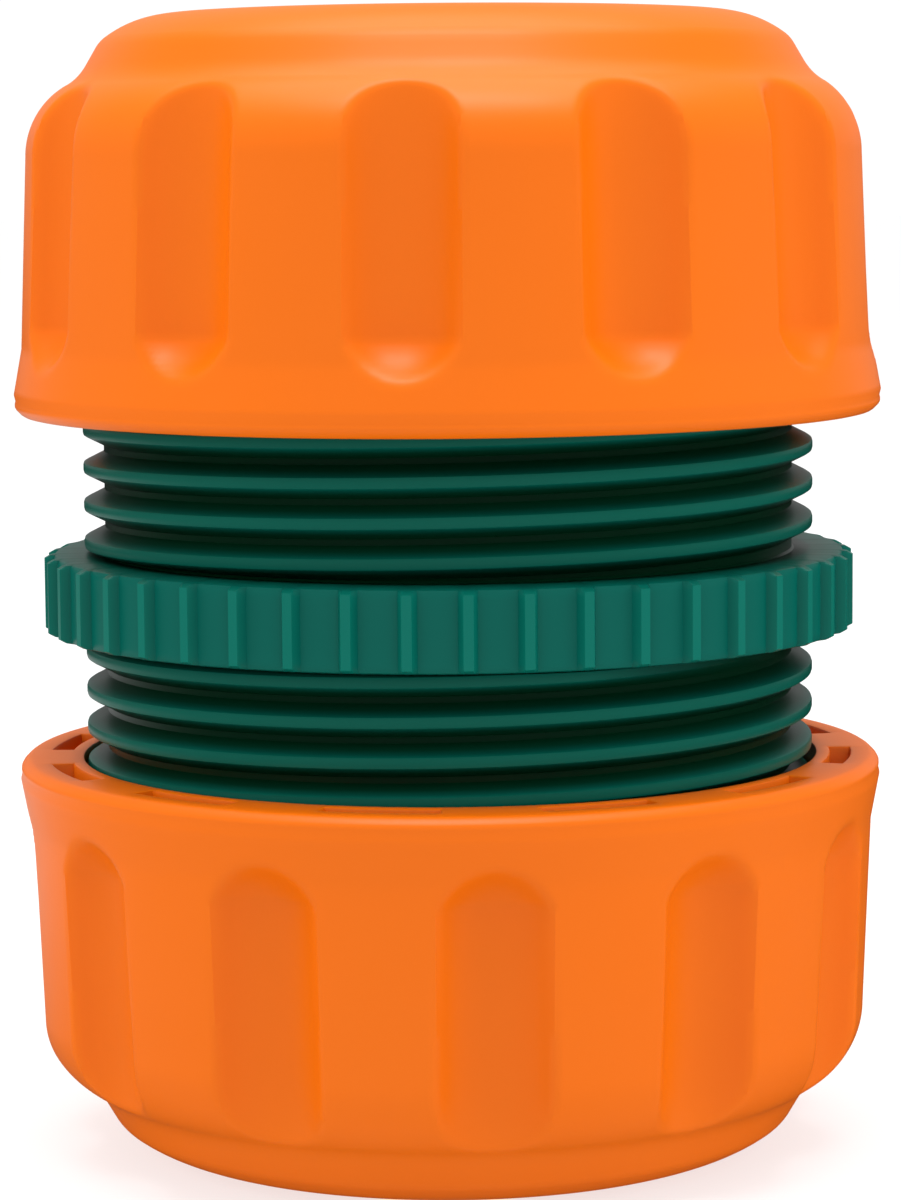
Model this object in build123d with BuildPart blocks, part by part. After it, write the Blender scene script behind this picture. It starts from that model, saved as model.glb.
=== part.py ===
"""A hose mender for 19 mm garden hose, in millimetres, standing on its lower nut.

One green moulding carries a knurled collar, a threaded sleeve at each end and a
barbed tail inside each sleeve. An orange nut screws on each sleeve and holds a
split collet, which it pushes into the sleeve to close it on the hose.

The two ends are alike. Heights below are measured from the middle of the collar
outwards, along the upper end. The lower end is the upper one turned over about
a level axis, with its nut screwed on a little further. Radii build up from the
water bore outwards, one wall or clearance on the other. The sleeves' thread is
turned here, one groove to each turn, and wound in scene.py.
"""

import math
import os

from build123d import *

os.makedirs("parts", exist_ok=True)

# Tails, with the water bore through both
water_bore_radius = 7.25
tail_wall = 1.95
tail_end = 25.3
barb_height = 0.8
barb_length = 3.4
barb_count = 3

# Collet, round the hose that the tail's barbs hold
hose_gap = 3.0
grip_height = 0.8
grip_width = 1.2
collet_wall = 1.9
collet_length = 14.2
flange_width = 1.6
flange_thickness = 1.7
finger_count = 12
finger_slot = 1.6

# Sleeves, the collets' sliding fit in them and the web that joins them to the tails
collet_clearance = 0.2
sleeve_wall = 2.45
sleeve_mouth_flare = 1.0
sleeve_mouth_depth = 2.5
web_thickness = 3.2

# Thread of the sleeves, and the nuts' running fit on its crest
thread_depth = 1.1
thread_pitch = 2.0
thread_crest_width = 0.6
thread_turns = 7
thread_relief = 0.6
thread_lead = 0.8
thread_clearance = 0.2

# Collar, which stands out from the thread
collar_height = 4.2
collar_step = 1.65
rib_height = 0.5
rib_width = 0.85
rib_count = 45
rib_first_angle = -95.5

# Nut, outside
nut_gap = 7.4
nut_height = 21.0
nut_wall = 2.55
wall_taper = 0.4
lip_step = 0.45
lip_height = 1.1
lip_bevel = 0.45
flare_height = 2.4
shoulder_radius = 4.3
ring_step = 2.8
ring_height = 1.7
ring_draft = 1.15
crown_height = 1.45
crown_bulge = 0.35

# Nut, inside
end_wall = 3.5
end_face_width = 0.8
hose_hole_step = 0.5
hose_hole_chamfer = 0.3
seat_clearance = 0.3
socket_depth = 1.1
cavity_taper = 1.5

# Grip flutes of the nut, cut by a round-ended cutter that leans inwards
flute_count = 12
flute_first_angle = -95.5
flute_cutter_radius = 3.45
flute_cutter_end = 2.4
flute_foot_above_mouth = 4.7
flute_foot_depth = 1.65
flute_head_below_end = 4.0
flute_head_depth = 2.0

# Pockets that lighten the nut between its skirt and its threaded sleeve
nut_sleeve_wall = 0.75
pocket_width = 1.1
pocket_depth = 9.0
pocket_web = 5.0

# Level axis about which one end turns over onto the other, and how much further
# the lower nut is screwed on than the upper one
turn_over_angle = 30.0
lower_advance = 0.7

# Radii that follow, from the water bore outwards
tail_root_radius = water_bore_radius + tail_wall
barb_radius = tail_root_radius + barb_height
grip_radius = barb_radius + hose_gap
collet_bore_radius = grip_radius + grip_height
collet_radius = collet_bore_radius + collet_wall
flange_radius = collet_radius + flange_width
sleeve_bore_radius = collet_radius + collet_clearance
thread_root_radius = sleeve_bore_radius + sleeve_wall
thread_crest_radius = thread_root_radius + thread_depth
collar_valley_radius = thread_crest_radius + collar_step
nut_bore_radius = thread_crest_radius + thread_clearance
pocket_inner_radius = nut_bore_radius + nut_sleeve_wall
pocket_outer_radius = pocket_inner_radius + pocket_width
wall_head_radius = nut_bore_radius + nut_wall
wall_foot_radius = wall_head_radius + wall_taper
lip_radius = wall_foot_radius + lip_step
ring_foot_radius = wall_head_radius - ring_step
ring_head_radius = ring_foot_radius - ring_draft
hose_hole_radius = collet_bore_radius - hose_hole_step
end_face_radius = hose_hole_radius + hose_hole_chamfer + end_face_width

# Heights that follow, from the middle of the collar outwards
collar_face = collar_height / 2
thread_foot = collar_face + thread_relief
thread_end = thread_foot + thread_turns * thread_pitch
sleeve_end = thread_end + thread_lead
nut_mouth = collar_face + nut_gap
nut_end = nut_mouth + nut_height
ring_head_height = nut_end - crown_height
shoulder_foot_height = ring_head_height - ring_height - shoulder_radius
shoulder_run = ring_foot_radius - (wall_head_radius - shoulder_radius)
shoulder_rise = math.sqrt(shoulder_radius**2 - shoulder_run**2)
seat_height = nut_end - end_wall
socket_foot = seat_height - socket_depth
flange_top = seat_height - seat_clearance
flange_foot = flange_top - flange_thickness
collet_tip = flange_top - collet_length

# Place and lean of the flutes' cutter
flute_foot_height = nut_mouth + flute_foot_above_mouth
flute_head_height = nut_end - flute_head_below_end
flute_foot_floor = wall_foot_radius - flute_foot_depth
flute_head_floor = wall_head_radius - flute_head_depth
flute_run = flute_head_height - flute_foot_height
flute_lean = math.degrees(math.atan2(flute_foot_floor - flute_head_floor, flute_run))
flute_axis_radius = flute_foot_floor + flute_cutter_radius / math.cos(math.radians(flute_lean))
flute_cap_radius = (flute_cutter_radius**2 + flute_cutter_end**2) / (2 * flute_cutter_end)

# Places of the lower end and of the whole part
level_direction = (math.cos(math.radians(turn_over_angle)), math.sin(math.radians(turn_over_angle)), 0)
turn_over_axis = Axis((0, 0, 0), level_direction)
screwed_on = Location((0, 0, -lower_advance))
collar_middle = Location((0, 0, nut_end - lower_advance))


def save(piece, name):
    """Labels a finished piece and writes it, with the lower nut's end face at height zero."""
    placed = piece.moved(collar_middle)
    placed.label = name
    export_step(placed, f"parts/{name}.step")


# Body, one moulding: the half section is mirrored about the middle of the collar
with BuildPart() as body:
    with BuildSketch(Plane.XZ):
        with BuildLine():
            barb_foot = tail_end - barb_count * barb_length
            saw_teeth = []
            for step in range(barb_count):
                saw_teeth.append((barb_radius, barb_foot + step * barb_length))
                saw_teeth.append((tail_root_radius, barb_foot + (step + 1) * barb_length))
            groove_root = (thread_crest_width + thread_pitch) / 2
            grooves = []
            for step in range(thread_turns):
                crest_foot = thread_foot + step * thread_pitch
                grooves.append((thread_crest_radius, crest_foot))
                grooves.append((thread_crest_radius, crest_foot + thread_crest_width))
                grooves.append((thread_root_radius, crest_foot + groove_root))
            Polyline(
                (water_bore_radius, 0),
                (collar_valley_radius, 0),
                (collar_valley_radius, collar_face),
                (thread_root_radius, collar_face),
                (thread_root_radius, thread_foot),
                *grooves,
                (thread_crest_radius, thread_end),
                (thread_crest_radius - thread_lead, sleeve_end),
                (sleeve_bore_radius + sleeve_mouth_flare, sleeve_end),
                (sleeve_bore_radius, sleeve_end - sleeve_mouth_depth),
                (sleeve_bore_radius, web_thickness / 2),
                (tail_root_radius, web_thickness / 2),
                (tail_root_radius, barb_foot),
                *saw_teeth,
                (water_bore_radius, tail_end),
                close=True,
            )
        make_face()
        mirror(about=Plane.XZ)
    revolve(axis=Axis.Z)
    # Knurl of the collar
    with BuildSketch(Plane.XY.offset(-collar_face)):
        with PolarLocations(collar_valley_radius, rib_count, start_angle=rib_first_angle):
            Rectangle(2 * rib_height, rib_width)
    extrude(amount=collar_height)
save(body.part, "body")

# Cutter for one flute: a rod with a domed lower end
with BuildPart() as flute_cutter:
    with BuildSketch(Plane.XZ):
        with BuildLine():
            rod_length = nut_end - flute_foot_height
            rod_side = Polyline(
                (0, -flute_cutter_end),
                (0, rod_length),
                (flute_cutter_radius, rod_length),
                (flute_cutter_radius, 0),
            )
            RadiusArc(rod_side @ 1, rod_side @ 0, flute_cap_radius)
        make_face()
    revolve(axis=Axis.Z)

# Nut, one moulding
with BuildPart() as nut:
    with BuildSketch(Plane.XZ):
        with BuildLine():
            wall_line = Polyline(
                (nut_bore_radius, nut_mouth),
                (lip_radius - lip_bevel, nut_mouth),
                (lip_radius, nut_mouth + lip_bevel),
                (lip_radius, nut_mouth + lip_height),
                (wall_foot_radius, nut_mouth + lip_height + flare_height),
                (wall_head_radius, shoulder_foot_height),
            )
            ring_foot = (ring_foot_radius, shoulder_foot_height + shoulder_rise)
            shoulder_arc = RadiusArc(wall_line @ 1, ring_foot, -shoulder_radius)
            ring_side = Line(shoulder_arc @ 1, (ring_head_radius, ring_head_height))
            crown = SagittaArc(ring_side @ 1, (end_face_radius, nut_end), crown_bulge)
            Polyline(
                crown @ 1,
                (hose_hole_radius + hose_hole_chamfer, nut_end),
                (hose_hole_radius, nut_end - hose_hole_chamfer),
                (hose_hole_radius, seat_height),
                (flange_radius + seat_clearance, seat_height),
                (flange_radius + seat_clearance, socket_foot),
                (nut_bore_radius, socket_foot - cavity_taper),
                (nut_bore_radius, nut_mouth),
            )
        make_face()
    revolve(axis=Axis.Z)
    # Grip flutes
    with PolarLocations(0, flute_count, start_angle=flute_first_angle):
        with Locations(Location((flute_axis_radius, 0, flute_foot_height), (0, -flute_lean, 0))):
            add(flute_cutter.part, mode=Mode.SUBTRACT)
    # Pockets, with a web behind each flute
    with BuildSketch(Plane.XY.offset(nut_mouth)):
        Circle(pocket_outer_radius)
        Circle(pocket_inner_radius, mode=Mode.SUBTRACT)
        with PolarLocations(pocket_inner_radius, flute_count, start_angle=flute_first_angle):
            Rectangle(4 * pocket_width, pocket_web, mode=Mode.SUBTRACT)
    extrude(amount=pocket_depth, mode=Mode.SUBTRACT)

# Collet, one moulding: a flange with fingers that reach into the sleeve
with BuildPart() as collet:
    with BuildSketch(Plane.XZ):
        with BuildLine():
            Polyline(
                (collet_bore_radius, flange_top),
                (flange_radius, flange_top),
                (flange_radius, flange_foot),
                (collet_radius, flange_foot),
                (collet_radius, collet_tip),
                (grip_radius, collet_tip),
                (grip_radius, collet_tip + grip_width),
                (collet_bore_radius, collet_tip + grip_width),
                close=True,
            )
        make_face()
    revolve(axis=Axis.Z)
    # Slots between the fingers
    with BuildSketch(Plane.XY.offset(collet_tip)):
        with PolarLocations(collet_bore_radius + collet_wall / 2, finger_count):
            Rectangle(2 * collet_wall, finger_slot)
    extrude(amount=flange_foot - collet_tip, mode=Mode.SUBTRACT)

save(nut.part, "upper_nut")
save(nut.part.moved(screwed_on).rotate(turn_over_axis, 180), "lower_nut")
save(collet.part, "upper_collet")
save(collet.part.moved(screwed_on).rotate(turn_over_axis, 180), "lower_collet")
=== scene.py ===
"""Dresses the hose mender: moulded green body with its threads, and two orange nuts.

Pieces are modelled in millimetres on one end of the mender. Heights run outwards
from the middle of the collar. Each piece then goes to its place on the upper end,
or is turned over onto the lower one.
"""

import math

import bmesh
import bpy
from mathutils import Matrix, Vector


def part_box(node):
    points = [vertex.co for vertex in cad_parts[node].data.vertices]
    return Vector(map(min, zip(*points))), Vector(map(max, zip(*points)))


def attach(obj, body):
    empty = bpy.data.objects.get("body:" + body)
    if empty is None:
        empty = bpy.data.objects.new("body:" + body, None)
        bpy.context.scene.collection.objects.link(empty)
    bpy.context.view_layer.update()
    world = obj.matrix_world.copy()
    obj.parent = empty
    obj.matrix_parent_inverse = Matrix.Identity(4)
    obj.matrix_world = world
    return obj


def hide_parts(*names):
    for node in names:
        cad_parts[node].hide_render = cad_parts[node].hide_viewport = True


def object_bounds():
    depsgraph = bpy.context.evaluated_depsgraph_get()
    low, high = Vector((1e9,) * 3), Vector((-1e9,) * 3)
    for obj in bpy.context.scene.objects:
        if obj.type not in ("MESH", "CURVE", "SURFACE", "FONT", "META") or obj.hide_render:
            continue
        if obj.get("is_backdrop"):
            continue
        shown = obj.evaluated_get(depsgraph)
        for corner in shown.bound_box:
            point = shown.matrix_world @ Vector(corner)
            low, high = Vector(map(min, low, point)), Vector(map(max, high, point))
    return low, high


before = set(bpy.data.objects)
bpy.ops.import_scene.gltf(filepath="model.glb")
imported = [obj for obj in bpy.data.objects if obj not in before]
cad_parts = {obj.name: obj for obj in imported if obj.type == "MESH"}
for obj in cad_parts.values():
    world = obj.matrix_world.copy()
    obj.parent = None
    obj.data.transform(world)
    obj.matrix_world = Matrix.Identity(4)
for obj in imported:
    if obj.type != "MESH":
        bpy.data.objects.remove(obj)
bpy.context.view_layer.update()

MM = 0.001

# Millimetres within which points are welded, or count as on a plane or a ring. Edges that
# turn by more than the sharp angle, in radians, are rounded, and the shading breaks where
# faces meet at more than the crease angle, in degrees
weld_distance = 0.0005
near = 0.01
sharp_angle = 0.6
crease_angle = 32

# Boxes of the CAD's pieces and height of the collar's middle, in metres
body_low, body_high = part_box("body")
nut_low, nut_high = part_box("upper_nut")
collet_low, collet_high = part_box("upper_collet")
lower_nut_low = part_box("lower_nut")[0]
collar_middle = (body_low.z + body_high.z) / 2

# Sizes that follow from them, in millimetres as all those below
lower_advance = (nut_high.z + lower_nut_low.z - 2 * collar_middle) / MM
tail_end = (body_high.z - collar_middle) / MM
nut_mouth = (nut_low.z - collar_middle) / MM
nut_end = (nut_high.z - collar_middle) / MM
lip_radius = (nut_high.x - nut_low.x) / 2 / MM
collet_tip = (collet_low.z - collar_middle) / MM
flange_top = (collet_high.z - collar_middle) / MM
flange_radius = (collet_high.x - collet_low.x) / 2 / MM

# Thread of the sleeves: right-handed, single start. Its profile is rounded where the
# flanks leave the root, and over the nose by points (below the crest, past the nose).
# Each start is an azimuth on its own end, in degrees, and the first ridge grows to its
# full size between two heights up the sleeve
thread_pitch = 2.0
thread_crest_radius = 19.45
thread_root_radius = 18.35
thread_nose = 0.5
thread_nose_points = ((0.16, 0.1), (0.04, 0.02), (0.0, -0.12))
thread_root_flat = 0.3
thread_root_fillet = (0.1, 0.08)
thread_foot = 2.35
thread_lead = 0.8
thread_steps = 240
upper_thread_start = 60
lower_thread_start = 30
first_ridge = (2.25, 2.55)

# Collar and the inside of the body, sized as in the CAD. The collar's rounded edge has one
# point between its ends, set in by a share of its radius. A rib stands at full height over
# one share of its width to each side of its middle, and slopes down over another
collar_face = 2.1
collar_valley_radius = 21.1
collar_edge = 0.25
collar_edge_share = 0.3
collar_corner = 0.12
rib_height = 0.5
rib_width = 0.85
rib_top_share = 0.28
rib_flank_share = 0.3
rib_count = 45
rib_steps = 24
first_azimuth = -95.5
body_steps = 192
body_edge = 0.18
sleeve_end = 17.5
sleeve_bore_radius = 15.9
sleeve_mouth_flare = 1.0
sleeve_mouth_depth = 2.5
sleeve_end_inset = 0.2
web_face = 1.6
water_bore_radius = 7.25
tail_root_radius = 9.2
barb_height = 0.8
barb_length = 3.4
barb_count = 3

# Nut, sized as in the CAD, with the rounding of its edges
nut_bore_radius = 19.65
nut_bore_edge = 0.15
pocket_inner_radius = 20.4
pocket_outer_radius = 21.5
pocket_depth = 9.0
pocket_edge = 0.13
lip_height = 1.1
lip_bevel = 0.45
lip_edge = 0.16
lip_hollow = 0.08
lip_hollow_share = 0.7
flare_height = 2.4
wall_foot_radius = 22.6
wall_head_radius = 22.2
wall_spacing = 0.3
shoulder_height = 27.35
shoulder_radius = 4.3
shoulder_spacing = 0.16
ring_foot_radius = 19.4
ring_head_radius = 18.25
ring_head_height = 29.05
ring_spacing = 0.6
end_face_radius = 14.4
crown_bulge = 0.35
crown_steps = 12
crown_edge = 0.3
hose_hole_radius = 13.3
hose_hole_chamfer = 0.3
cavity_height = 24.4
cavity_taper = 1.5
seat_height = 27.0
seat_clearance = 0.3

# Small curve that fills the corner where the nut's end ring stands on its shoulder: it
# takes the place of the shoulder's last points and reaches this share up the ring's side
fillet_points = 5
fillet_share = 0.4
fillet_steps = 7

# Grip flutes of the nut, pressed in by a leaning round-ended form
flute_count = 12
flute_steps = 48
web_steps = 22
flute_radius = 3.45
flute_dome = 2.4
flute_foot_height = 14.2
flute_foot_floor = 20.95
flute_head_height = 26.5
flute_head_floor = 20.2
flute_edge = 0.45

# Collet, sized as in the CAD
collet_bore_radius = 13.8
collet_wall = 1.9
flange_thickness = 1.7
finger_count = 12
finger_steps = 20
slot_steps = 4
grip_height = 0.8
grip_width = 1.2
collet_edge = 0.12

# Level axis about which one end turns over onto the other
turn_over_angle = 30.0

# Sizes in the polypropylene's finish, in metres: how far apart its pigment drifts, its
# patches of duller gloss, and the grain and depth of its spark-eroded mould texture
pigment_drift = 0.012
dull_patch = 0.005
mould_grain = 0.00035
mould_grain_depth = 0.00002
mould_grain_strength = 0.12
polypropylene_ior = 1.49
gloss_spread = (-0.04, 0.05)

# Light: an even white tent over a white table that glows from below. In the gloss only
# the ceiling, the backdrop and a patch of the table, left behind the mender, are bright.
# The patch brightens between two distances from its middle, in metres, the ceiling between
# two values of the direction's Z and the backdrop between two of its Y
floor_size = 3.0
tent_light = 1.04
table_colour = "#959595"
table_glow = 0.69
table_gloss = 0.8
table_patch = (-0.11, 0.10, 0.0)
patch_radii = (0.15, 0.04)
ceiling_gloss = 4.2
ceiling_rise = (0.7, 0.97)
backdrop_gloss = 0.4
backdrop_rise = (0.4, 0.75)

# Camera, from the photograph's perspective: metres, degrees, and millimetres of lens and film
camera_distance = 0.21505
camera_height = 0.05302
camera_side = 0.00008
camera_pitch = 6.365
camera_roll = 0.45
camera_lens = 120.74
camera_sensor = 36.0


def linear(code):
    """Turns an sRGB hex value into a linear colour."""
    channels = [int(code[i : i + 2], 16) / 255 for i in (1, 3, 5)]
    return [c / 12.92 if c <= 0.04045 else ((c + 0.055) / 1.055) ** 2.4 for c in channels] + [1.0]


# Shapes


def turn(bm, outline, steps, angle=math.tau, closed=True, climb=0.0):
    """Spins an outline of (radius, height) points round the hose axis, climbing if asked."""
    points = [bm.verts.new((radius, 0, height)) for radius, height in outline]
    edges = [bm.edges.new(pair) for pair in zip(points, points[1:])]
    if closed:
        edges.append(bm.edges.new((points[-1], points[0])))
    bmesh.ops.spin(
        bm,
        geom=points + edges,
        cent=(0, 0, 0),
        axis=(0, 0, 1),
        dvec=(0, 0, climb / steps),
        angle=angle,
        steps=steps,
        use_merge=angle == math.tau and not climb,
    )


def repeat(bm, count, step):
    """Repeats a mesh until there are count of it, each a step on, and welds the joints."""
    part = bpy.data.meshes.new("part")
    bm.to_mesh(part)
    for _ in range(count - 1):
        part.transform(step)
        bm.from_mesh(part)
    bpy.data.meshes.remove(part)
    bmesh.ops.remove_doubles(bm, verts=bm.verts, dist=weld_distance)


def repeat_round(bm, count):
    """Repeats one sector until its copies close round the hose axis."""
    repeat(bm, count, Matrix.Rotation(math.tau / count, 4, "Z"))


def swing(bm, degrees):
    """Turns a mesh about the hose axis."""
    turning = Matrix.Rotation(math.radians(degrees), 3, "Z")
    bmesh.ops.rotate(bm, verts=bm.verts, cent=(0, 0, 0), matrix=turning)


def stretch(start, end, spacing):
    """Points from start up to, but not including, end, at about that spacing."""
    start, end = Vector(start), Vector(end)
    count = max(1, round((end - start).length / spacing))
    return [tuple(start.lerp(end, i / count)) for i in range(count)]


def arc(centre, radius, first, last, spacing):
    """Points of an arc from angle first to last, in degrees, at about that spacing."""
    count = max(2, round(abs(math.radians(last - first)) * radius / spacing))
    angles = [math.radians(first + (last - first) * i / count) for i in range(count + 1)]
    return [(centre[0] + radius * math.cos(a), centre[1] + radius * math.sin(a)) for a in angles]


def soft_min(a, b, width):
    """The smaller of two values, rounded over where they cross."""
    blend = max(width - abs(a - b), 0) / width
    return min(a, b) - blend * blend * width / 4


def round_edges(bm, edges, width, segments=2):
    """Rounds edges over a width."""
    bmesh.ops.bevel(
        bm,
        geom=edges,
        offset=width,
        offset_type="OFFSET",
        segments=segments,
        profile=0.5,
        affect="EDGES",
        material=-1,
    )


def round_rings(bm, rings, width, segments=2):
    """Rounds the ring edges that lie at the given (radius, height) places."""
    edges = []
    for edge in bm.edges:
        ends = [(v.co.xy.length, v.co.z) for v in edge.verts]
        for radius, height in rings:
            if all(abs(r - radius) < near and abs(z - height) < near for r, z in ends):
                edges.append(edge)
    round_edges(bm, edges, width, segments)


def azimuth_offset(place, count):
    """Degrees from a place to the nearest of count ribs or flutes."""
    spacing = 360 / count
    azimuth = math.degrees(math.atan2(place.y, place.x)) - first_azimuth
    return (azimuth + spacing / 2) % spacing - spacing / 2


def open_loops(bm):
    """The open edge loops of a mesh, each as a list of edges."""
    left = {e for e in bm.edges if e.is_boundary}
    loops = []
    while left:
        chain = [left.pop()]
        reach = list(chain[0].verts)
        while reach:
            vert = reach.pop()
            for edge in vert.link_edges:
                if edge in left:
                    left.remove(edge)
                    chain.append(edge)
                    reach.append(edge.other_vert(vert))
        loops.append(chain)
    return loops


def loop_place(loop):
    """Mean height and radius of a loop of edges."""
    verts = {v for e in loop for v in e.verts}
    return (
        sum(v.co.z for v in verts) / len(verts),
        sum(v.co.xy.length for v in verts) / len(verts),
    )


# The two ends of the mender
upper_end = Matrix.Translation((0, 0, collar_middle)) @ Matrix.Scale(MM, 4)
level_axis = Matrix.Rotation(math.radians(turn_over_angle), 3, "Z") @ Vector((1, 0, 0))
turn_over = Matrix.Rotation(math.pi, 4, level_axis)
lower_end = upper_end @ turn_over
lower_fittings = lower_end @ Matrix.Translation((0, 0, -lower_advance))


def finish_piece(bm, name, place, material, body):
    """Puts a mesh in its place, gives it its plastic and lets it ride on a CAD body."""
    bmesh.ops.recalc_face_normals(bm, faces=bm.faces)
    bmesh.ops.transform(bm, matrix=place, verts=bm.verts)
    mesh = bpy.data.meshes.new(name)
    bm.to_mesh(mesh)
    for polygon in mesh.polygons:
        polygon.use_smooth = True
    mesh.set_sharp_from_angle(angle=math.radians(crease_angle))
    mesh.materials.append(material)
    piece = bpy.data.objects.new(name, mesh)
    bpy.context.scene.collection.objects.link(piece)
    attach(piece, body)
    return piece


def thread_outline():
    """One pitch of the thread, from root to root, with a rounded nose."""
    half = thread_pitch / 2
    nose = thread_nose / 2
    root = half - thread_root_flat / 2
    fillet_out, fillet_down = thread_root_fillet
    upper_half = [
        (thread_root_radius, half),
        (thread_root_radius, root),
        (thread_root_radius + fillet_out, root - fillet_down),
    ]
    for below, past in thread_nose_points:
        upper_half.append((thread_crest_radius - below, nose + past))
    lower_half = [(radius, -height) for radius, height in upper_half]
    return lower_half + upper_half[::-1]


def threaded_sleeve(start):
    """Outside of one sleeve: a wound thread, trimmed to the relief groove and the end."""
    bm = bmesh.new()
    turns = math.ceil((sleeve_end - thread_foot) / thread_pitch) + 3
    first_height = math.floor(thread_foot / thread_pitch - 1) * thread_pitch
    outline = [(radius, height + first_height) for radius, height in thread_outline()]
    turn(bm, outline, thread_steps, closed=False, climb=thread_pitch)
    repeat(bm, turns, Matrix.Translation((0, 0, thread_pitch)))
    swing(bm, start)
    # The thread grows out of the relief groove, and a lead tapers its far end
    for vert in bm.verts:
        radius = vert.co.xy.length
        climb = math.degrees(math.atan2(vert.co.y, vert.co.x)) - start
        phase = climb / 360 * thread_pitch
        ridge = phase + thread_pitch * round((vert.co.z - phase) / thread_pitch)
        grown = (ridge - first_ridge[0]) / (first_ridge[1] - first_ridge[0])
        grown = max(0, min(1, grown))
        taper = thread_crest_radius - max(0, vert.co.z - (sleeve_end - thread_lead))
        allowed = min(taper, thread_root_radius + grown * (radius - thread_root_radius))
        if radius > allowed:
            vert.co.xy *= allowed / radius
    for height, normal in ((thread_foot, (0, 0, -1)), (sleeve_end, (0, 0, 1))):
        bmesh.ops.bisect_plane(
            bm,
            geom=bm.verts[:] + bm.edges[:] + bm.faces[:],
            plane_co=(0, 0, height),
            plane_no=normal,
            clear_outer=True,
        )
    return bm


def collar():
    """The ribbed collar, open at its two inner rings."""
    bm = bmesh.new()
    edge = collar_edge
    set_in = edge * collar_edge_share
    rim = [
        (thread_root_radius, collar_face + collar_corner),
        (thread_root_radius + collar_corner, collar_face),
        (collar_valley_radius - edge, collar_face),
        (collar_valley_radius - set_in, collar_face - set_in),
        (collar_valley_radius, collar_face - edge),
        (collar_valley_radius, collar_face - edge * 2),
    ]
    outline = rim + [(radius, -height) for radius, height in reversed(rim)]
    turn(bm, outline, rib_steps, angle=math.tau / rib_count, closed=False)
    repeat_round(bm, rib_count)
    swing(bm, first_azimuth)
    # Ribs stand on the rim and round off at their sides and ends
    for vert in bm.verts:
        radius = vert.co.xy.length
        if radius > collar_valley_radius - edge - near:
            aside = math.radians(abs(azimuth_offset(vert.co, rib_count))) * collar_valley_radius
            past_top = max(0, aside - rib_width * rib_top_share)
            rise = max(0, 1 - past_top / (rib_width * rib_flank_share))
            from_end = min(1, (collar_face - abs(vert.co.z)) / edge)
            swell = rib_height * rise * rise * (3 - 2 * rise) * (1 - (1 - from_end) ** 2)
            vert.co.xy *= (radius + swell) / radius
    return bm


def inner_body():
    """Inside of the sleeves, the web, the tails and the water bore."""
    bm = bmesh.new()
    barb_foot = tail_end - barb_count * barb_length
    teeth = []
    for step in range(barb_count):
        teeth.append((tail_root_radius + barb_height, barb_foot + step * barb_length))
        teeth.append((tail_root_radius, barb_foot + (step + 1) * barb_length))
    half = [
        (thread_root_radius - sleeve_end_inset, sleeve_end),
        (sleeve_bore_radius + sleeve_mouth_flare, sleeve_end),
        (sleeve_bore_radius, sleeve_end - sleeve_mouth_depth),
        (sleeve_bore_radius, web_face),
        (tail_root_radius, web_face),
        (tail_root_radius, barb_foot),
        *teeth,
        (water_bore_radius, tail_end),
    ]
    outline = half + [(radius, -height) for radius, height in reversed(half)]
    turn(bm, outline, body_steps, closed=False)
    rings = []
    for side in (1, -1):
        rings.append((sleeve_bore_radius + sleeve_mouth_flare, side * sleeve_end))
        rings.append((sleeve_bore_radius, side * web_face))
        rings.append((tail_root_radius, side * web_face))
        rings.append((tail_root_radius, side * tail_end))
        rings.append((water_bore_radius, side * tail_end))
        rings += [(radius, side * height) for radius, height in teeth[::2]]
    round_rings(bm, rings, body_edge)
    return bm


def join(bm, other, matrix=None):
    """Adds another mesh to a mesh, moved by a matrix."""
    if matrix is not None:
        bmesh.ops.transform(other, matrix=matrix, verts=other.verts)
    part = bpy.data.meshes.new("part")
    other.to_mesh(part)
    other.free()
    bm.from_mesh(part)
    bpy.data.meshes.remove(part)


def make_body(material):
    """The green moulding as one closed skin."""
    bm = inner_body()
    join(bm, collar())
    join(bm, threaded_sleeve(upper_thread_start))
    join(bm, threaded_sleeve(lower_thread_start), turn_over)
    # Neighbouring open rings are bridged, four joints in all
    loops = sorted(open_loops(bm), key=loop_place)
    for first, second in zip(loops[::2], loops[1::2]):
        bmesh.ops.bridge_loops(bm, edges=first + second)
    bmesh.ops.remove_doubles(bm, verts=bm.verts, dist=weld_distance)
    return finish_piece(bm, "green_body", upper_end, material, "body")


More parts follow.
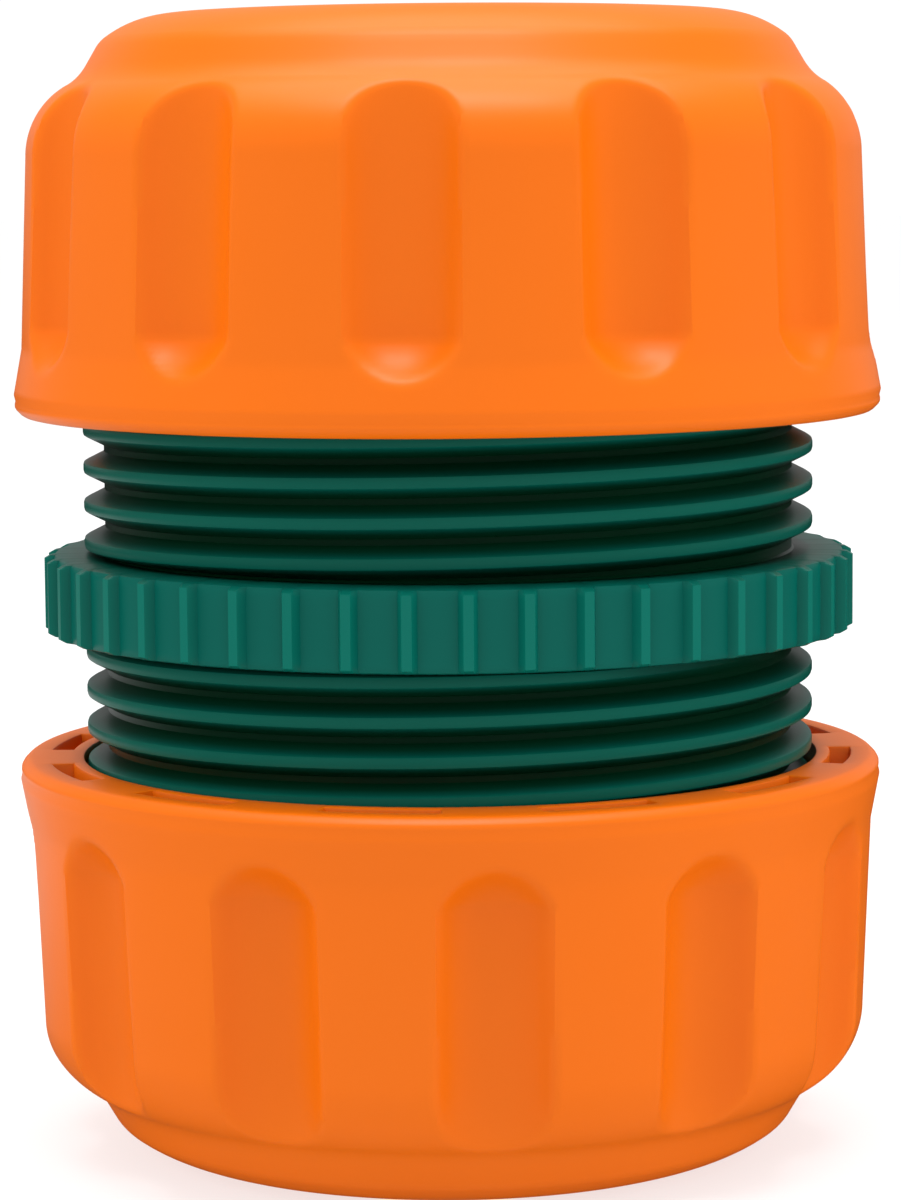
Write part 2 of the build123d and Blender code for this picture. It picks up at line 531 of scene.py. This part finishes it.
def nut_outline():
    """Section of the nut, from the bore's edge at the mouth, round the outside and back."""
    shoulder_foot = shoulder_height - shoulder_radius
    shoulder_centre = (wall_head_radius - shoulder_radius, shoulder_foot)
    shoulder_reach = (ring_foot_radius - shoulder_centre[0]) / shoulder_radius
    shoulder_end = math.degrees(math.acos(shoulder_reach))
    shoulder = arc(shoulder_centre, shoulder_radius, 0, shoulder_end, shoulder_spacing)
    crown_start = Vector((ring_head_radius, ring_head_height))
    crown_end = Vector((end_face_radius, nut_end))
    outwards = (crown_end - crown_start).orthogonal().normalized()
    if outwards.x < 0:
        outwards = -outwards
    crown = []
    for step in range(1, crown_steps):
        along = step / crown_steps
        lift = 4 * along * (1 - along) * crown_bulge
        crown.append(tuple(crown_start.lerp(crown_end, along) + outwards * lift))
    corner = Vector(shoulder[-1])
    fillet_start = Vector(shoulder[-1 - fillet_points])
    fillet_end = corner.lerp(crown_start, fillet_share)
    fillet = []
    for step in range(1, fillet_steps):
        along = step / fillet_steps
        toward_corner = fillet_start.lerp(corner, along)
        fillet.append(tuple(toward_corner.lerp(corner.lerp(fillet_end, along), along)))
    lip_top = nut_mouth + lip_height
    flare_top = (wall_foot_radius, lip_top + flare_height)
    return [
        (nut_bore_radius, nut_mouth),
        (pocket_inner_radius, nut_mouth),
        (pocket_outer_radius, nut_mouth),
        (lip_radius - lip_bevel, nut_mouth),
        (lip_radius, nut_mouth + lip_bevel),
        (lip_radius - lip_hollow, nut_mouth + lip_hollow_share * lip_height),
        (lip_radius, lip_top),
        *stretch((lip_radius, lip_top), flare_top, wall_spacing)[1:],
        *stretch(flare_top, (wall_head_radius, shoulder_foot), wall_spacing),
        *shoulder[:-fillet_points],
        *fillet,
        *stretch(fillet_end, crown_start, ring_spacing),
        tuple(crown_start),
        *crown,
        tuple(crown_end),
        (hose_hole_radius + hose_hole_chamfer, nut_end),
        (hose_hole_radius, nut_end - hose_hole_chamfer),
        (hose_hole_radius, seat_height),
        (flange_radius + seat_clearance, seat_height),
        (flange_radius + seat_clearance, cavity_height + cavity_taper),
        (nut_bore_radius, cavity_height),
    ]


def press_flutes(bm):
    """Presses the grip flutes into the wall and the shoulder."""
    lean = (flute_foot_floor - flute_head_floor) / (flute_head_height - flute_foot_height)
    dome_radius = (flute_radius**2 + flute_dome**2) / (2 * flute_dome)
    dome_centre = flute_foot_height + dome_radius - flute_dome
    for vert in bm.verts:
        radius, height = vert.co.xy.length, vert.co.z
        if radius < ring_foot_radius or height < flute_foot_height - flute_dome:
            continue
        if height < flute_foot_height:
            form_radius = math.sqrt(max(0, dome_radius**2 - (dome_centre - height) ** 2))
        else:
            form_radius = flute_radius
        axis_radius = flute_foot_floor + flute_radius - (height - flute_foot_height) * lean
        aside = math.radians(azimuth_offset(vert.co, flute_count))
        reach = form_radius**2 - (axis_radius * math.sin(aside)) ** 2
        if reach <= 0:
            continue
        floor = axis_radius * math.cos(aside) - math.sqrt(reach)
        vert.co.xy *= soft_min(radius, floor, flute_edge) / radius


def sink_pockets(bm):
    """Sinks the lightening pockets between the webs behind the flutes."""
    web = 180 / flute_count * web_steps / flute_steps
    faces = []
    for face in bm.faces:
        middle = face.calc_center_median()
        at_mouth = abs(middle.z - nut_mouth) < near
        if at_mouth and pocket_inner_radius < middle.xy.length < pocket_outer_radius:
            if abs(azimuth_offset(middle, flute_count)) > web:
                faces.append(face)
    sunk = bmesh.ops.extrude_face_region(bm, geom=faces)
    floor = [v for v in sunk["geom"] if isinstance(v, bmesh.types.BMVert)]
    bmesh.ops.translate(bm, verts=floor, vec=(0, 0, pocket_depth))
    bmesh.ops.delete(bm, geom=[f for f in faces if f.is_valid], context="FACES")
    rim = [
        e
        for e in bm.edges
        if all(abs(v.co.z - nut_mouth) < near for v in e.verts)
        and len(e.link_faces) == 2
        and e.calc_face_angle() > sharp_angle
        and pocket_inner_radius - near < e.verts[0].co.xy.length < pocket_outer_radius + near
    ]
    round_edges(bm, rim, pocket_edge)


def make_nut(name, place, material):
    """One orange nut: turned section, fluted grip, pockets and rounded rings."""
    bm = bmesh.new()
    turn(bm, nut_outline(), flute_steps, angle=math.tau / flute_count)
    repeat_round(bm, flute_count)
    swing(bm, first_azimuth)
    press_flutes(bm)
    sink_pockets(bm)
    lip_rings = [(lip_radius - lip_bevel, nut_mouth), (lip_radius, nut_mouth + lip_bevel)]
    round_rings(bm, lip_rings, lip_edge)
    round_rings(bm, [(nut_bore_radius, nut_mouth)], nut_bore_edge)
    round_rings(bm, [(ring_head_radius, ring_head_height)], crown_edge, 3)
    return finish_piece(bm, f"orange_{name}", place, material, name)


def make_collet(name, place, material):
    """One split collet: a flange with fingers drawn down from it."""
    bm = bmesh.new()
    flange_foot = flange_top - flange_thickness
    outline = [
        (collet_bore_radius, flange_top),
        (flange_radius, flange_top),
        (flange_radius, flange_foot),
        (collet_bore_radius + collet_wall, flange_foot),
        (collet_bore_radius, flange_foot),
    ]
    turn(bm, outline, finger_steps, angle=math.tau / finger_count)
    repeat_round(bm, finger_count)
    slot = 180 / finger_count * (1 - slot_steps / finger_steps)
    fingers = []
    for face in bm.faces:
        middle = face.calc_center_median()
        inside = middle.xy.length < collet_bore_radius + collet_wall
        azimuth = math.degrees(math.atan2(middle.y, middle.x))
        aside = azimuth % (360 / finger_count) - 180 / finger_count
        if inside and abs(middle.z - flange_foot) < near and abs(aside) < slot:
            fingers.append(face)
    for depth in (flange_foot - collet_tip - grip_width, grip_width):
        drawn = bmesh.ops.extrude_face_region(bm, geom=fingers)
        bmesh.ops.delete(bm, geom=[f for f in fingers if f.is_valid], context="FACES")
        fingers = [f for f in drawn["geom"] if isinstance(f, bmesh.types.BMFace)]
        tip = [v for v in drawn["geom"] if isinstance(v, bmesh.types.BMVert)]
        bmesh.ops.translate(bm, verts=tip, vec=(0, 0, -depth))
    # The gripping rib stands inwards from the tips
    bm.normal_update()
    grip = [
        f
        for f in bm.faces
        if collet_tip < f.calc_center_median().z < collet_tip + grip_width
        and f.calc_center_median().xy.length < collet_bore_radius
    ]
    raised = bmesh.ops.extrude_face_region(bm, geom=grip)
    bmesh.ops.delete(bm, geom=[f for f in grip if f.is_valid], context="FACES")
    for vert in (v for v in raised["geom"] if isinstance(v, bmesh.types.BMVert)):
        vert.co.xy *= (collet_bore_radius - grip_height) / collet_bore_radius
    edges = [e for e in bm.edges if len(e.link_faces) == 2 and e.calc_face_angle() > sharp_angle]
    round_edges(bm, edges, collet_edge)
    return finish_piece(bm, f"green_{name}", place, material, name)


# Materials


def empty_tree(owner):
    """The node tree of a material or a world, with no nodes in it."""
    owner.use_nodes = True
    owner.node_tree.nodes.clear()
    return owner.node_tree


def add(tree, kind, settings=None, *sources, **links):
    """Adds a node with its settings, and links other nodes' outputs to its sockets, the
    first ones in their order and the rest by name.
    """
    node = tree.nodes.new(kind)
    for key, value in (settings or {}).items():
        if key in node.inputs:
            node.inputs[key].default_value = value
        else:
            setattr(node, key, value)
    for source, socket in zip(sources, node.inputs):
        tree.links.new(source, socket)
    for key, source in links.items():
        tree.links.new(source, node.inputs[key.replace("_", " ")])
    return node


def moulded_polypropylene(name, colour, deep_colour, roughness, sheen, rings=()):
    """Injection-moulded polypropylene: soft gloss, a faint mould texture and an even colour,
    apart from any rings of (radius, colour) round the hose axis, which paint shade and highlight
    into it.
    """
    material = bpy.data.materials.new(name)
    tree = empty_tree(material)
    place = add(tree, "ShaderNodeTexCoord").outputs["Object"]
    # Pigment drifts a little as the plastic flows into the mould
    drift = add(
        tree, "ShaderNodeTexNoise", {"Scale": 1 / pigment_drift, "Detail": 2.0}, Vector=place
    )
    tint = add(tree, "ShaderNodeMix", {"data_type": "RGBA"}, Factor=drift.outputs["Fac"])
    tint.inputs["A"].default_value = linear(colour)
    tint.inputs["B"].default_value = linear(deep_colour)
    skin = tint.outputs["Result"]
    # Rings of colour by distance from the hose axis paint shade and highlight over the skin
    if rings:
        aside = add(tree, "ShaderNodeVectorMath", {"operation": "MULTIPLY"}, place)
        aside.inputs[1].default_value = (1, 1, 0)
        from_axis = add(
            tree, "ShaderNodeVectorMath", {"operation": "LENGTH"}, aside.outputs["Vector"]
        )
        inner, outer = rings[0][0], rings[-1][0]
        across = add(
            tree,
            "ShaderNodeMapRange",
            {"From Min": inner * MM, "From Max": outer * MM},
            Value=from_axis.outputs["Value"],
        )
        painted_shade_ramp = add(tree, "ShaderNodeValToRGB", Fac=across.outputs["Result"])
        stops = painted_shade_ramp.color_ramp.elements
        while len(stops) < len(rings):
            stops.new(0.5)
        for stop, (radius, painted_tone) in zip(stops, rings):
            stop.position = (radius - inner) / (outer - inner)
            stop.color = linear(painted_tone)
        painted_skin = add(tree, "ShaderNodeMix", {"data_type": "RGBA", "blend_type": "MULTIPLY"})
        painted_skin.inputs["Factor"].default_value = 1.0
        tree.links.new(skin, painted_skin.inputs["A"])
        tree.links.new(painted_shade_ramp.outputs["Color"], painted_skin.inputs["B"])
        skin = painted_skin.outputs["Result"]
    # Handling leaves patches of slightly duller gloss
    wear = add(tree, "ShaderNodeTexNoise", {"Scale": 1 / dull_patch, "Detail": 4.0}, Vector=place)
    gloss = add(
        tree,
        "ShaderNodeMapRange",
        {"To Min": roughness + gloss_spread[0], "To Max": roughness + gloss_spread[1]},
        Value=wear.outputs["Fac"],
    )
    # The mould's spark-eroded texture takes the edge off each highlight
    grain = add(tree, "ShaderNodeTexNoise", {"Scale": 1 / mould_grain, "Detail": 3.0}, Vector=place)
    bump = add(
        tree,
        "ShaderNodeBump",
        {"Strength": mould_grain_strength, "Distance": mould_grain_depth},
        Height=grain.outputs["Fac"],
    )
    plastic = add(
        tree,
        "ShaderNodeBsdfPrincipled",
        {"IOR": polypropylene_ior, "Specular IOR Level": sheen},
        Base_Color=skin,
        Roughness=gloss.outputs["Result"],
        Normal=bump.outputs["Normal"],
    )
    add(tree, "ShaderNodeOutputMaterial", Surface=plastic.outputs["BSDF"])
    return material


# Painted shade darkens the thread's grooves, and a painted highlight makes the ribs paler
groove_shade_and_rib_highlight = [
    (thread_root_radius - 0.4, "#CCCCCC"),
    (thread_root_radius, "#605A3E"),
    (thread_root_radius + 0.5, "#6A6A58"),
    (thread_crest_radius - 0.25, "#8C8C88"),
    (thread_crest_radius, "#B4B4B0"),
    (collar_valley_radius, "#BABABC"),
    (collar_valley_radius + rib_height, "#D2D2D2"),
]
green_plastic = moulded_polypropylene(
    "moulded_green_polypropylene", "#058473", "#007F6E", 0.34, 0.16, groove_shade_and_rib_highlight
)
orange_plastic = moulded_polypropylene(
    "moulded_orange_polypropylene", "#E86C03", "#E56902", 0.36, 0.22
)

pieces = [(make_body(green_plastic), "body", "green_plastic")]
for end, place in (("upper", upper_end), ("lower", lower_fittings)):
    nut, collet = f"{end}_nut", f"{end}_collet"
    pieces.append((make_nut(nut, place, orange_plastic), nut, "orange_plastic"))
    pieces.append((make_collet(collet, place, green_plastic), collet, "green_plastic"))
for piece, node, finish in pieces:
    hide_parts(node)

# Stage: the table is as white as the tent behind it, and keeps a faint shadow
bm = bmesh.new()
bmesh.ops.create_grid(bm, x_segments=1, y_segments=1, size=floor_size)
floor_mesh = bpy.data.meshes.new("floor")
bm.to_mesh(floor_mesh)
floor = bpy.data.objects.new("floor", floor_mesh)
bpy.context.scene.collection.objects.link(floor)
floor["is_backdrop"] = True

# Lit white acrylic: an even glow with a matt face that takes the shadow
acrylic = bpy.data.materials.new("white_acrylic_table")
tree = empty_tree(acrylic)
spot = add(tree, "ShaderNodeNewGeometry").outputs["Position"]
away = add(tree, "ShaderNodeVectorMath", {"operation": "DISTANCE"}, spot)
away.inputs[1].default_value = table_patch
smooth = {"interpolation_type": "SMOOTHSTEP"}
patch = add(
    tree,
    "ShaderNodeMapRange",
    {**smooth, "From Min": patch_radii[0], "From Max": patch_radii[1], "To Max": table_gloss},
    Value=away.outputs["Value"],
)
seen = add(tree, "ShaderNodeLightPath").outputs["Is Glossy Ray"]
white = {"Color": (1, 1, 1, 1)}
glow = add(tree, "ShaderNodeEmission", {**white, "Strength": table_glow})
face = add(tree, "ShaderNodeBsdfDiffuse", {"Color": linear(table_colour)})
lit = add(tree, "ShaderNodeAddShader", None, glow.outputs["Emission"], face.outputs["BSDF"])
shine = add(tree, "ShaderNodeEmission", white, Strength=patch.outputs["Result"])
table = add(
    tree, "ShaderNodeMixShader", None, seen, lit.outputs["Shader"], shine.outputs["Emission"]
)
add(tree, "ShaderNodeOutputMaterial", Surface=table.outputs["Shader"])
floor_mesh.materials.append(acrylic)
# The table is seen by rays that reach it, and sends none of its own to sample
acrylic.cycles.emission_sampling = "NONE"

# The tent: white for the camera, even on the plastics, and in their gloss a bright
# ceiling and backdrop
world = bpy.data.worlds.new("white_tent")
bpy.context.scene.world = world
world.cycles.sampling_method = "NONE"
tree = empty_tree(world)
seen = add(tree, "ShaderNodeLightPath")
direction = add(tree, "ShaderNodeTexCoord").outputs["Generated"]
toward = add(tree, "ShaderNodeSeparateXYZ", Vector=direction)
low, high = ceiling_rise
ceiling = add(
    tree,
    "ShaderNodeMapRange",
    {**smooth, "From Min": low, "From Max": high, "To Max": ceiling_gloss},
    Value=toward.outputs["Z"],
)
low, high = backdrop_rise
backdrop = add(
    tree,
    "ShaderNodeMapRange",
    {**smooth, "From Min": low, "From Max": high, "To Max": backdrop_gloss},
    Value=toward.outputs["Y"],
)
brighter = {"operation": "MAXIMUM"}
gloss = add(tree, "ShaderNodeMath", brighter, ceiling.outputs["Result"], backdrop.outputs["Result"])
kept = add(
    tree,
    "ShaderNodeMapRange",
    {"To Min": tent_light},
    Value=seen.outputs["Is Glossy Ray"],
    To_Max=gloss.outputs["Value"],
)
level = add(
    tree, "ShaderNodeMath", brighter, kept.outputs["Result"], seen.outputs["Is Camera Ray"]
)
sky = add(tree, "ShaderNodeBackground", white, Strength=level.outputs["Value"])
add(tree, "ShaderNodeOutputWorld", Surface=sky.outputs["Background"])


def soft_light(name, place, width, height, power, sheen=False):
    """A softbox at a place, turned to the mender, that lights the plastics or only their gloss."""
    lamp = bpy.data.lights.new(name, "AREA")
    lamp.shape = "RECTANGLE"
    lamp.size, lamp.size_y, lamp.energy = width, height, power
    lamp_object = bpy.data.objects.new(name, lamp)
    aim = Vector((0, 0, collar_middle)) - Vector(place)
    turned = aim.to_track_quat("-Z", "Y").to_matrix().to_4x4()
    lamp_object.matrix_world = Matrix.Translation(place) @ turned
    lamp_object.visible_glossy = sheen
    lamp_object.visible_diffuse = not sheen
    bpy.context.scene.collection.objects.link(lamp_object)


soft_light("top_softbox", (0, -0.03, 0.55), width=0.45, height=0.35, power=2.4)
soft_light("left_softbox", (-0.55, 0.10, 0.12), width=0.3, height=0.4, power=0.8)
soft_light("right_softbox", (0.55, -0.05, 0.06), width=0.3, height=0.4, power=1.0)
soft_light("overhead_sheen", (0, -0.15, 0.58), width=0.35, height=0.15, power=1.5, sheen=True)

# Camera
camera_data = bpy.data.cameras.new("camera")
camera_data.lens = camera_lens
camera_data.sensor_width = camera_sensor
camera = bpy.data.objects.new("camera", camera_data)
camera.matrix_world = (
    Matrix.Translation((camera_side, -camera_distance, camera_height))
    @ Matrix.Rotation(math.radians(90 - camera_pitch), 4, "X")
    @ Matrix.Rotation(math.radians(-camera_roll), 4, "Z")
)
bpy.context.scene.collection.objects.link(camera)
bpy.context.scene.camera = camera
bpy.context.scene.view_settings.view_transform = "Standard"

low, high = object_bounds()
